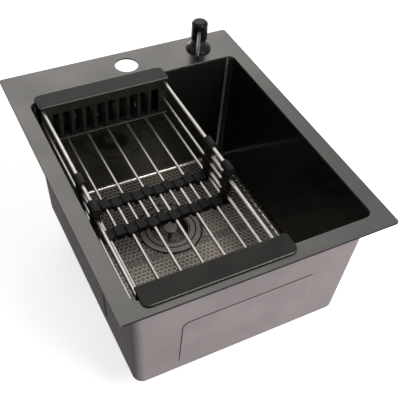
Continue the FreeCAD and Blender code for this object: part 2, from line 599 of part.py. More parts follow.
def make_end_frame(half, cap_y, turn, rods):
    """A cap that lies on the rim, with a comb panel hanging from its inner side."""
    body = new_body(f"{half}_end_frame")
    cap = new_sketch(body, "XY_Plane", "rim_gap")
    rectangle(cap, "-cap_length / 2", "cap_length / 2", "0", "cap_width")
    feature(body, "Pad", cap, Length="cap_thickness")
    upright = number("cap_thickness / 2")
    middle = number("cap_width / 2")
    round_edges(body, "cap_outer_radius", lambda span: span.ZLength > upright and span.YMin > middle)
    round_edges(body, "cap_inner_radius", lambda span: span.ZLength > upright and span.YMax < middle)
    round_edges(body, "cap_edge_radius", level("rim_gap + cap_thickness"))
    for low_y, height in (("panel_setback", "panel_depth + rim_gap"),
                          ("panel_setback - foot_reach", "foot_height")):
        slab = new_sketch(body, "XY_Plane", "-panel_depth")
        rectangle(slab, "panel_inset - cap_length / 2", "cap_length / 2 - panel_inset", low_y,
                  "panel_setback + panel_thickness")
        feature(body, "Pad", slab, Length=height)
    first = f"(-{COMB_SLOTS - 1} / 2 * slot_pitch)"
    slot = new_sketch(body, "XZ_Plane", "overrun - panel_setback")
    rectangle(slot, f"{first} - slot_width / 2", f"{first} + slot_width / 2", "-slot_bottom", "-slot_top")
    cut = feature(body, "Pocket", slot, Length="panel_thickness + 2 * overrun")
    doc.recompute()
    row = pattern(body, "LinearPattern", cut, COMB_SLOTS, Direction=(slot, ["H_Axis"]))
    bind(row, Length=f"{COMB_SLOTS - 1} * slot_pitch")
    for face, on_floor in (("panel_setback", False), ("panel_setback - foot_reach", True)):
        seats = new_sketch(body, "XZ_Plane", f"-({face})")
        for name, owner, x, z, radius in rods:
            if owner == half and ("floor" in name) == on_floor:
                circle(seats, x, z, f"{radius} + seat_clearance")
        feature(body, "Pocket", seats, Length="rod_seat")
    place(body, RACK_X, cap_y, "deck_thickness", Rotation(Vector(0, 0, 1), turn))


def rod_span(name, half):
    """The lowest and highest Y of a rod, from its seat in the end frame to its end in the far band."""
    reach = "foot_reach" if "floor" in name else "0"
    if half == "rear":
        return (f"({FRONT_BAND_Y} + band_step + rod_end_wall)",
                f"({REAR_CAP_Y} + panel_setback - {reach} + rod_seat)")
    return (f"({FRONT_CAP_Y} - panel_setback + {reach} - rod_seat)",
            f"({REAR_BAND_Y} + band_width - band_step - rod_end_wall)")


def along_y(name, radius, x, low, high, z):
    return cylinder(name, radius, f"{high} - {low}", x, high, z, Rotation(Vector(1, 0, 0), 90))


def make_rods(rods):
    for name, half, x, z, radius in rods:
        low, high = rod_span(name, half)
        node(along_y(name, radius, f"{RACK_X} + {x}", low, high, f"deck_thickness + {z}"), name)


def make_band(half, band_y, rods):
    """A U of blocks joined by a web. The other half's rods slide through it, its own end in it."""
    column = f"({FLOOR_RODS // 2} * rod_pitch)"
    web_y, web_width = f"{band_y} + band_step", "band_width - 2 * band_step"
    pieces = [box("web", f"{RACK_X} - {column} - band_thickness / 2", web_y,
                  f"{ROD_FLOOR_Z} - band_thickness / 2", f"2 * {column} + band_thickness",
                  web_width, "band_thickness")]
    for sign in (-1, 1):
        pieces.append(box("web", f"{RACK_X} + {sign} * {column} - band_thickness / 2", web_y, ROD_FLOOR_Z,
                          "band_thickness", web_width, "rack_depth - rail_depth"))
    holes = []
    other = {"rear": "front", "front": "rear"}[half]
    for name, owner, x, z, radius in rods:
        low = f"{band_y} + band_step" if owner == "rear" else band_y
        mid_x, mid_z = f"({RACK_X} + {x})", f"(deck_thickness + {z})"
        across, up = "block_height", "block_width"
        if "floor" in name:
            across, up = up, across
        if name.startswith("rear") and name.endswith("rail"):
            pieces.append(along_y("lug", "lug_radius", mid_x, band_y, f"({band_y} + band_width)", mid_z))
        else:
            pieces.append(box("block", f"{mid_x} - {across} / 2", low, f"{mid_z} - {up} / 2", across,
                              "band_width - band_step", up))
        ends_here = owner == other
        span = rod_span(name, owner)
        fit = "seat_clearance" if ends_here else "slide_clearance"
        hole_low = span[0] if ends_here and owner == "rear" else f"({band_y} - overrun)"
        hole_high = span[1] if ends_here and owner == "front" else f"({band_y} + band_width + overrun)"
        holes.append(along_y("bore", f"{radius} + {fit}", mid_x, hole_low, hole_high, mid_z))
    whole = doc.addObject("Part::MultiFuse", "blocks")
    whole.Shapes = pieces
    bores = doc.addObject("Part::MultiFuse", "bores")
    bores.Shapes = holes
    cut = node(doc.addObject("Part::Cut", f"{half}_band"), f"{half}_band")
    cut.Base = whole
    cut.Tool = bores


def make_rack():
    rods = rack_rods()
    make_end_frame("rear", REAR_CAP_Y, 0, rods)
    make_end_frame("front", FRONT_CAP_Y, 180, rods)
    make_rods(rods)
    make_band("rear", REAR_BAND_Y, rods)
    make_band("front", FRONT_BAND_Y, rods)


def write_parts():
    doc.recompute()
    failed = [item.Label for item in doc.Objects if {"Invalid", "Error"} & set(item.State)]
    failed += [item.Label for item in nodes if item.Shape.isNull() or not item.Shape.isValid()]
    if failed:
        raise RuntimeError(f"these objects failed: {failed}")
    for item in nodes:
        item.Shape.exportStep(f"parts/{item.Label}.step")
    print(len(nodes), "sub-parts written")


make_deck()
make_rim_seal()
make_bowl()
make_sound_pads()
make_waste()
make_basket()
make_dispenser()
make_rack()
write_parts()
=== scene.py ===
"""Looks of a drop-in kitchen sink with a basket waste, a soap dispenser and a drain rack.

Metres, +Z up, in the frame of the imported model: the origin is the middle of the deck's footprint,
on the deck's underside, with the tap ledge at +Y.
"""

import json
import math

import bmesh
import bpy
from mathutils import Matrix, Vector


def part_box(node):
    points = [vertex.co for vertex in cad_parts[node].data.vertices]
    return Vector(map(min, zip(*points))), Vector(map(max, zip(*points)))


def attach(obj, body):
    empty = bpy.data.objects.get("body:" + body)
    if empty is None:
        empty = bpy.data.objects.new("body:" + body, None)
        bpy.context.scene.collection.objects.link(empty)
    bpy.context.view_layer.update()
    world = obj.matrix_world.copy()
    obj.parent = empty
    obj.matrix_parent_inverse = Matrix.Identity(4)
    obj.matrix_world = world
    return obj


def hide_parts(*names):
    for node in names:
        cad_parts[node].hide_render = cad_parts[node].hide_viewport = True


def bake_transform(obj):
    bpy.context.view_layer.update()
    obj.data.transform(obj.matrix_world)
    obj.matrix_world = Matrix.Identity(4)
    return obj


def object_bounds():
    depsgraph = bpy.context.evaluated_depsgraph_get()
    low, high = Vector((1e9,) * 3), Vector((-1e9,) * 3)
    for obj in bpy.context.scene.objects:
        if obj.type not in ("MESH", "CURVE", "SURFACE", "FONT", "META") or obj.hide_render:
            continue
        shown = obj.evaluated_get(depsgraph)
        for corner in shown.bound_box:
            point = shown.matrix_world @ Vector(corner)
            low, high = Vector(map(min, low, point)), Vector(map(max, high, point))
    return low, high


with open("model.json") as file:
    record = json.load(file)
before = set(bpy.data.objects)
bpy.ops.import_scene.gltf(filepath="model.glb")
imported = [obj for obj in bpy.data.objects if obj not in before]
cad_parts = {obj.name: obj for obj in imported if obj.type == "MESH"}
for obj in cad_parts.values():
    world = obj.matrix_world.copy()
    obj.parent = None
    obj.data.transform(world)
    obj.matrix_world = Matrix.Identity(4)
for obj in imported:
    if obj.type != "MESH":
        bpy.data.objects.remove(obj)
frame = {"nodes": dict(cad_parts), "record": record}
cad_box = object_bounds()
nodes = frame["nodes"]

MM = 0.001

# A place times this keeps its level part
LEVEL = Vector((1, 1, 0))

# Camera, fitted to the corners of the deck and the bowl
CAMERA_TARGET = Vector((-26.98, -107.67, 3.0)) * MM
CAMERA_DISTANCE = 929.34 * MM
CAMERA_YAW = math.radians(-30.14)
CAMERA_PITCH = math.radians(45.91)
CAMERA_ROLL = math.radians(4.88)
CAMERA_LENS = 62.47
CAMERA_SENSOR = 36.0
CAMERA_NEAR = 10.0 * MM

# Embossed floor of the bowl: cells in rows, each row half a cell aside from the one before. The shares say
# how wide a cell is inside its ridge and on its base. A cell's middle lies on the flat floor or at most the
# reach beyond it, and at least the margin away from the drain. Its base lies the lift above the solid's
# floor, and the points of neighbours that are nearer than the join become one
CELL_PITCH = 7.7 * MM
CELL_ROW = 7.1 * MM
CELL_DEPTH = 0.5 * MM
CELL_RIDGE_SHARE = 0.84
CELL_BASE_SHARE = 0.66
CELL_REACH = 0.3 * MM
CELL_JOIN = 0.1 * MM
FLOOR_LIFT = 0.04 * MM
DRAIN_MARGIN = 1.0 * MM

# The cells run up the bend round the floor by at most this share of its radius
BEND_SHARE = 0.95

# Patches of tone on the embossed floor, in millimetres
FLOOR_PATCH = 60.0

# Inputs of the floor's tree of nodes, by name and kind
FLOOR_INPUTS = (("Size", "Vector"), ("Pitch", "Float"), ("Row", "Float"), ("Depth", "Float"),
                ("Corner", "Float"), ("Reach", "Float"), ("Bend", "Float"), ("Ridge share", "Float"),
                ("Base share", "Float"), ("Drain", "Vector"), ("Drain radius", "Float"),
                ("Material", "Material"))

# Noise lies mostly in the middle of its range: the part of it that is used for grain and for patches of tone
GRAIN_RANGE = (0.3, 0.7)
GRAIN_DETAIL = 3.0
CLOUD_RANGE = (0.35, 0.65)
CLOUD_DETAIL = 2.0

# Brush lines of the coated steel and its patches of tone, in millimetres. Real lines are finer and wouldn't
# show at this size. They run from side to side, and from front to rear where a face turns this far aside
BRUSH_SIZE = 1.2
BRUSH_HEIGHT = 0.002
BRUSH_STRETCH = 0.03
BRUSH_PATCH = 90.0
BRUSH_TURN = (0.6, 0.7)

# Upright streaks of the coat inside the bowl, in millimetres, and the painted highlight lines down its
# rounded corners: where the face has turned by this much from the front and rear walls, and how bright
# they are there. On the side walls it has turned by the whole reach, and near them the highlights fade out
STREAK_SIZE = 16.0
STREAK_STRETCH = 0.04
CORNER_HIGHLIGHT_FADE = (0.08, 0.2)
CORNER_HIGHLIGHT_REACH = 1.0
CORNER_HIGHLIGHT_LINES = ((0.12, "000000"), (0.24, "ffffff"), (0.4, "ffffff"), (0.55, "000000"), (0.8, "000000"),
              (0.88, "808080"), (0.95, "000000"))

# Painted shade at the gaps and steps between the drain's rings, by their distance from its axis in
# millimetres: the coat is painted black there. The patches of tone between them are in millimetres too
RING_SHADE_REACH = 60.0
TURNED_PATCH = 25.0
RING_SHADES = ((31.4, "000000"), (32.2, "ffffff"), (33.4, "ffffff"), (34.2, "000000"), (41.4, "000000"),
           (42.0, "ffffff"), (43.6, "ffffff"), (44.2, "000000"), (52.6, "000000"), (53.2, "ffffff"))

# Copies of the model's faces: points nearer than this are one, and faces flatter than this are joined.
# Edges that turn more than a smooth face does are sharp, and the square ones among them can be softened, by
# these widths and in this many steps
JOIN = 0.005 * MM
FLAT_ANGLE = math.radians(0.2)
SMOOTH_ANGLE = math.radians(32.0)
SQUARE_ANGLE = math.radians(60.0)
DECK_EDGE = 0.5 * MM
MOULDED_EDGE = 1.0 * MM
BAND_EDGE = 0.4 * MM
DRAIN_EDGE = 0.7 * MM
EDGE_STEPS = 2

# How strongly a large face leads the shading of the softened edges beside it, in per cent
FACE_LEAD = 100

# Painted highlight on the rack's end frames: on an edge that leans up and to the front by more than this
FRONT_HIGHLIGHT_LEAN = 0.25

# How far a face's normal rises: less than the first on an edge or a bend, more than the second on the bend
# round the bowl's floor, and more than the third, up or down, on the floor or under it
FLAT_RISE = 0.98
BEND_RISE = 0.1
FLOOR_RISE = 0.5

# A face of a sound pad that turns outwards less than this belongs to its edge
PAD_FACE = 0.7

# Studio: a pale floor under the waste outlet and four soft lamps. The key stands high at the front right, the
# front and back lamps low so that the deck throws little shade on the walls, and the deck mirrors the wide
# panel. Each lamp has its place, its aim, its width and height, its watts and its tint. The paper's patches
# of tone are in millimetres
WORLD_LIGHT = 0.2
FLOOR_GLOW = 0.6
FLOOR_REACH = 6.0
FLOOR_GAP = 0.5 * MM
PAPER_PATCH = 300.0
LAMPS = {
    "key": ((0.95, -1.6, 1.9), (0.0, 0.0, -0.1), (1.4, 1.0), 38.0, "fffaf8"),
    "front": ((0.75, -2.3, 0.2), (0.0, -0.2, -0.1), (1.6, 0.5), 31.0, "fffaf8"),
    "back": ((0.8, 2.3, 0.2), (0.0, 0.2, -0.1), (1.6, 0.5), 22.0, "fffaf8"),
    "panel": ((0.2, 1.76, 1.77), (0.0, 0.0, 0.0), (2.4, 2.0), 16.5, "fff8f8"),
}

# The bowl's sheet, its weld flange, how far its walls lean in, and the bend and the corners of its floor
BOWL_WALL = 1.0 * MM
WELD_FLANGE = 8.0 * MM
BOWL_TAPER = 10.0 * MM
BOWL_BEND = 6.0 * MM
FLOOR_CORNER = 14.0 * MM

# Places of the bowl and the drain, read from the model. The drain's seal lies on the bowl's floor
bowl_low, bowl_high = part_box("bowl")
drain_low, drain_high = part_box("waste_body")
bowl_middle = (bowl_low + bowl_high) / 2
floor_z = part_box("flange_seal")[0].z
bowl_half = (bowl_high - bowl_low) / 2 - LEVEL * (BOWL_WALL + WELD_FLANGE)
lean = math.atan2(BOWL_TAPER, bowl_high.z - floor_z)
bend_run = BOWL_BEND * math.tan((math.pi / 2 - lean) / 2)
floor_half = bowl_half - LEVEL * (BOWL_TAPER + bend_run)
drain_middle = (drain_low + drain_high) / 2
drain_radius = (drain_high.x - drain_low.x) / 2


def paint(hexcode):
    """A linear colour from an sRGB hex value."""
    channels = [int(hexcode[place:place + 2], 16) / 255 for place in (0, 2, 4)]
    return [value / 12.92 if value <= 0.04045 else ((value + 0.055) / 1.055) ** 2.4
            for value in channels] + [1.0]


def add(tree, kind, inputs=None, **settings):
    """Add a node to a tree with its settings, and set or link its inputs by name or number."""
    item = tree.nodes.new(kind)
    for key, value in settings.items():
        setattr(item, key, value)
    for key, value in (inputs or {}).items():
        if isinstance(value, bpy.types.NodeSocket):
            tree.links.new(value, item.inputs[key])
        else:
            item.inputs[key].default_value = value
    return item


def new_material(name):
    """An empty material with its shader and the object's coordinates in millimetres."""
    material = bpy.data.materials.new(name)
    material.use_nodes = True
    tree = material.node_tree
    tree.nodes.clear()
    shader = add(tree, "ShaderNodeBsdfPrincipled")
    add(tree, "ShaderNodeOutputMaterial", {"Surface": shader.outputs[0]})
    place = add(tree, "ShaderNodeTexCoord")
    millimetres = add(tree, "ShaderNodeVectorMath", {0: place.outputs["Object"], "Scale": 1 / MM},
                      operation="SCALE")
    return material, tree, shader, millimetres.outputs[0]


def grain(tree, shader, millimetres, size, height, rough, spread, stretch=(1, 1, 1)):
    """Fine noise of a size in millimetres that roughens the gloss and lifts the surface a little."""
    spot = add(tree, "ShaderNodeVectorMath", {0: millimetres, 1: stretch}, operation="MULTIPLY")
    noise = add(tree, "ShaderNodeTexNoise", {
        "Vector": spot.outputs[0], "Scale": 1 / size, "Detail": GRAIN_DETAIL}).outputs["Fac"]
    gloss = add(tree, "ShaderNodeMapRange", {
        "Value": noise, "From Min": GRAIN_RANGE[0], "From Max": GRAIN_RANGE[1],
        "To Min": rough - spread, "To Max": rough + spread})
    bump = add(tree, "ShaderNodeBump", {"Height": noise, "Strength": 1.0, "Distance": height * MM})
    tree.links.new(gloss.outputs[0], shader.inputs["Roughness"])
    tree.links.new(bump.outputs[0], shader.inputs["Normal"])


def clouds(tree, millimetres, size, dark, light):
    """Slow changes of tone over the surface, between two colours."""
    noise = add(tree, "ShaderNodeTexNoise", {
        "Vector": millimetres, "Scale": 1 / size, "Detail": CLOUD_DETAIL}).outputs["Fac"]
    tone = add(tree, "ShaderNodeMapRange", {
        "Value": noise, "From Min": CLOUD_RANGE[0], "From Max": CLOUD_RANGE[1]})
    return add(tree, "ShaderNodeMix", {"Factor": tone.outputs[0], "A": paint(dark), "B": paint(light)},
               data_type="RGBA").outputs["Result"]


def bands(tree, value, reach, stops):
    """Bands of shade along a value from nought to its reach, the first and the last held to the ends."""
    share = add(tree, "ShaderNodeMath", {0: value, 1: reach}, operation="DIVIDE")
    item = add(tree, "ShaderNodeValToRGB", {0: share.outputs[0]})
    item.color_ramp.elements[0].color = paint(stops[0][1])
    item.color_ramp.elements[1].color = paint(stops[-1][1])
    for spot, shade in stops:
        item.color_ramp.elements.new(spot / reach).color = paint(shade)
    return item.outputs[0]


def plain(name, dark, light, metallic, rough, spread, size, height, patch, **sockets):
    """A material of two near tones in slow patches, with a fine grain in its gloss and relief."""
    material, tree, shader, millimetres = new_material(name)
    tree.links.new(clouds(tree, millimetres, patch, dark, light), shader.inputs["Base Color"])
    shader.inputs["Metallic"].default_value = metallic
    grain(tree, shader, millimetres, size, height, rough, spread)
    for key, value in sockets.items():
        shader.inputs[key.replace("_", " ")].default_value = value
    return material


def camera():
    """The photograph's view: turned and tilted about the target, and drawn back along its own axis."""
    turn = (Matrix.Rotation(CAMERA_YAW, 4, "Z") @ Matrix.Rotation(math.pi / 2 - CAMERA_PITCH, 4, "X")
            @ Matrix.Rotation(CAMERA_ROLL, 4, "Z"))
    data = bpy.data.cameras.new("camera")
    data.lens = CAMERA_LENS
    data.sensor_width = CAMERA_SENSOR
    data.clip_start = CAMERA_NEAR
    eye = bpy.data.objects.new("camera", data)
    eye.matrix_world = Matrix.Translation(CAMERA_TARGET) @ turn @ Matrix.Translation((0, 0, CAMERA_DISTANCE))
    bpy.context.scene.collection.objects.link(eye)
    bpy.context.scene.camera = eye


def brushed(name, dark, light, metallic, rough, spread):
    """Coated steel with brush lines that run level along every face, and slow patches of tone."""
    material, tree, shader, millimetres = new_material(name)
    tree.links.new(clouds(tree, millimetres, BRUSH_PATCH, dark, light), shader.inputs["Base Color"])
    shader.inputs["Metallic"].default_value = metallic
    normal = add(tree, "ShaderNodeNewGeometry").outputs["Normal"]
    facing = add(tree, "ShaderNodeSeparateXYZ", {0: normal})
    sideways = add(tree, "ShaderNodeMath", {0: facing.outputs["X"]}, operation="ABSOLUTE")
    across = add(tree, "ShaderNodeMapRange", {
        "Value": sideways.outputs[0], "From Min": BRUSH_TURN[0], "From Max": BRUSH_TURN[1],
        "To Min": 1.0, "To Max": BRUSH_STRETCH})
    stretch = add(tree, "ShaderNodeCombineXYZ", {"X": BRUSH_STRETCH, "Y": across.outputs[0], "Z": 1.0})
    grain(tree, shader, millimetres, BRUSH_SIZE, BRUSH_HEIGHT, rough, spread, stretch.outputs[0])
    return material


def polished_inside():
    """The dark coat inside the bowl: soft upright streaks, and two painted highlight lines in each corner."""
    material, tree, shader, millimetres = new_material("dark coat on polished steel")
    drawn = add(tree, "ShaderNodeVectorMath", {0: millimetres, 1: (1.0, 1.0, STREAK_STRETCH)},
                operation="MULTIPLY")
    streaks = clouds(tree, drawn.outputs[0], STREAK_SIZE, "40413e", "474844")
    normal = add(tree, "ShaderNodeNewGeometry").outputs["Normal"]
    facing = add(tree, "ShaderNodeSeparateXYZ", {0: normal}).outputs
    aside = add(tree, "ShaderNodeMath", {0: facing["X"]}, operation="ABSOLUTE").outputs[0]
    along = add(tree, "ShaderNodeMath", {0: facing["Y"]}, operation="ABSOLUTE").outputs[0]
    # Painted highlight lines, where the corner's face has turned partway between the walls
    highlight_lines = bands(tree, aside, CORNER_HIGHLIGHT_REACH, CORNER_HIGHLIGHT_LINES)
    corner = add(tree, "ShaderNodeMapRange", {
        "Value": along, "From Min": CORNER_HIGHLIGHT_FADE[0], "From Max": CORNER_HIGHLIGHT_FADE[1]})
    corner_highlight = add(tree, "ShaderNodeMath", {0: highlight_lines, 1: corner.outputs[0]}, operation="MULTIPLY")
    tone = add(tree, "ShaderNodeMix", {"Factor": corner_highlight.outputs[0], "A": streaks, "B": paint("c9c7c3")},
               data_type="RGBA")
    tree.links.new(tone.outputs["Result"], shader.inputs["Base Color"])
    shader.inputs["Metallic"].default_value = 0.85
    shader.inputs["Specular IOR Level"].default_value = 0.25
    grain(tree, shader, millimetres, size=0.6, height=0.002, rough=0.11, spread=0.03)
    return material


def embossed():
    """The pressed floor's coat: lighter on the ridges and darker down in the cells, by height."""
    material, tree, shader, millimetres = new_material("dark coat on embossed steel")
    height = add(tree, "ShaderNodeSeparateXYZ", {0: millimetres})
    ridge = add(tree, "ShaderNodeMapRange", {
        "Value": height.outputs["Z"], "From Min": (floor_z + FLOOR_LIFT) / MM,
        "From Max": (floor_z + FLOOR_LIFT + CELL_DEPTH) / MM})
    tone = add(tree, "ShaderNodeMix", {
        "Factor": ridge.outputs[0], "A": clouds(tree, millimetres, FLOOR_PATCH, "4c4843", "57524c"),
        "B": clouds(tree, millimetres, FLOOR_PATCH, "837e77", "918b84")}, data_type="RGBA")
    tree.links.new(tone.outputs["Result"], shader.inputs["Base Color"])
    shader.inputs["Metallic"].default_value = 0.9
    grain(tree, shader, millimetres, size=0.8, height=0.01, rough=0.28, spread=0.05)
    return material


def turned():
    """The drain's coat: grey, with painted black shade in the gaps between the rings."""
    material, tree, shader, millimetres = new_material("gunmetal coat on turned steel")
    level = add(tree, "ShaderNodeVectorMath", {0: millimetres, 1: LEVEL}, operation="MULTIPLY").outputs[0]
    axis = drain_middle * LEVEL / MM
    radius = add(tree, "ShaderNodeVectorMath", {0: level, 1: axis}, operation="DISTANCE")
    ring_shade = bands(tree, radius.outputs["Value"], RING_SHADE_REACH, RING_SHADES)
    tone = add(tree, "ShaderNodeMix", {
        "Factor": ring_shade, "A": clouds(tree, millimetres, TURNED_PATCH, "605d57", "6c6861"),
        "B": paint("141412")}, data_type="RGBA")
    tree.links.new(tone.outputs["Result"], shader.inputs["Base Color"])
    shader.inputs["Metallic"].default_value = 0.7
    grain(tree, shader, millimetres, size=0.7, height=0.006, rough=0.32, spread=0.06)
    return material


def finish_copy(name, edge=0.0):
    """A copy that stands for a node, with flat faces joined, round ones smooth and square edges softened."""
    work = bmesh.new()
    work.from_mesh(nodes[name].data)
    bmesh.ops.remove_doubles(work, verts=work.verts, dist=JOIN)
    bmesh.ops.dissolve_limit(work, angle_limit=FLAT_ANGLE, verts=work.verts, edges=work.edges)
    weight = work.edges.layers.float.new("bevel_weight_edge")
    for line in work.edges:
        turn = line.calc_face_angle(0.0)
        softened = edge > 0 and turn > SQUARE_ANGLE and line.is_convex
        line[weight] = float(softened)
        line.smooth = softened or turn < SMOOTH_ANGLE
    for face in work.faces:
        face.smooth = True
    mesh = bpy.data.meshes.new(f"{name}_finish")
    work.to_mesh(mesh)
    work.free()
    piece = bpy.data.objects.new(f"{name}_finish", mesh)
    bpy.context.scene.collection.objects.link(piece)
    if edge > 0:
        soften = piece.modifiers.new("soften", "BEVEL")
        soften.limit_method = "WEIGHT"
        soften.width = edge
        soften.segments = EDGE_STEPS
        soften.use_clamp_overlap = False
        level = piece.modifiers.new("level", "WEIGHTED_NORMAL")
        level.keep_sharp = True
        level.weight = FACE_LEAD
        settle(piece)
    return piece


def settle(piece):
    """Turn what a piece's modifiers make into its own plain mesh."""
    shape = bpy.data.meshes.new_from_object(piece.evaluated_get(bpy.context.evaluated_depsgraph_get()))
    piece.modifiers.clear()
    piece.data = shape


def join_scene(piece, body, slot, *replaced):
    """Let a piece ride on a body and hide the nodes that it stands for. The slot is not used."""
    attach(piece, body)
    if replaced:
        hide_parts(*replaced)


def build_bowl():
    """The bowl in three finishes: sprayed outside, dark inside, and a painted highlight round its floor."""
    piece = finish_copy("bowl")
    for finish in (sprayed_coat, dark_coat, bend_highlight_coat):
        piece.data.materials.append(finish)
    for face in piece.data.polygons:
        inward = (bowl_middle - face.center) * LEVEL
        over_floor = face.normal.z > FLOOR_RISE and face.center.z < -BOWL_BEND
        under_floor = face.normal.z < -FLOOR_RISE
        inside = over_floor or (face.normal.dot(inward) > 0 and not under_floor)
        bend_highlight = face.center.z < floor_z + BOWL_BEND and BEND_RISE < face.normal.z < FLAT_RISE
        face.material_index = int(inside) + int(inside and bend_highlight)
    join_scene(piece, "sink", "coated_steel", "bowl")


def build_deck():
    """The deck, with its thin outer edge painted dark as shade as a finish of its own."""
    piece = finish_copy("deck", DECK_EDGE)
    piece.data.materials.append(gunmetal)
    piece.data.materials.append(edge_shade_coat)
    low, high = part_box("deck")
    for face in piece.data.polygons:
        margin = min(*(face.center - low).xy, *(high - face.center).xy)
        face.material_index = int(margin < DECK_EDGE and face.normal.z < FLAT_RISE)
    join_scene(piece, "sink", "coated_steel", "deck")


def build_pads():
    """The sound pads, painted darker on their thin edges as shade."""
    for name in ("sound_pad_front", "sound_pad_left", "sound_pad_rear", "sound_pad_right"):
        piece = finish_copy(name)
        piece.data.materials.append(sprayed_pad)
        piece.data.materials.append(pad_edge_shade)
        outward = (sum(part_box(name), Vector()) / 2 - bowl_middle) * LEVEL
        outward.normalize()
        for face in piece.data.polygons:
            face.material_index = int(face.normal.dot(outward) < PAD_FACE)
        join_scene(piece, "sink", "pad_rubber", name)


def build_softened():
    """Pieces whose square edges catch a thin line of light: the drain and the rack's bands."""
    for name, body, slot, edge, finish in (
            ("waste_body", "sink", "drain_steel", DRAIN_EDGE, drain_coat),
            ("front_band", "rack_rear", "rack_plastic", BAND_EDGE, abs_band),
            ("rear_band", "rack_front", "rack_plastic", BAND_EDGE, abs_band)):
        piece = finish_copy(name, edge)
        piece.data.materials.append(finish)
        join_scene(piece, body, slot, name)


def build_end_frames():
    """The rack's end frames, whose edges towards the front are painted lighter as a thin highlight line."""
    for name, body in (("rear_end_frame", "rack_rear"), ("front_end_frame", "rack_front")):
        piece = finish_copy(name, MOULDED_EDGE)
        piece.data.materials.append(abs_rack)
        piece.data.materials.append(abs_edge_highlight)
        for face in piece.data.polygons:
            face.material_index = int(-face.normal.y > FRONT_HIGHLIGHT_LEAN and face.normal.z > FRONT_HIGHLIGHT_LEAN)
        join_scene(piece, body, "rack_plastic", name)


def build_spring():
    """The pump's spring in drawn wire: its foot stays on the chamber's floor."""
    piece = finish_copy("pump_spring")
    piece.data.materials.append(wire)
    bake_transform(piece)
    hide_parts("pump_spring")


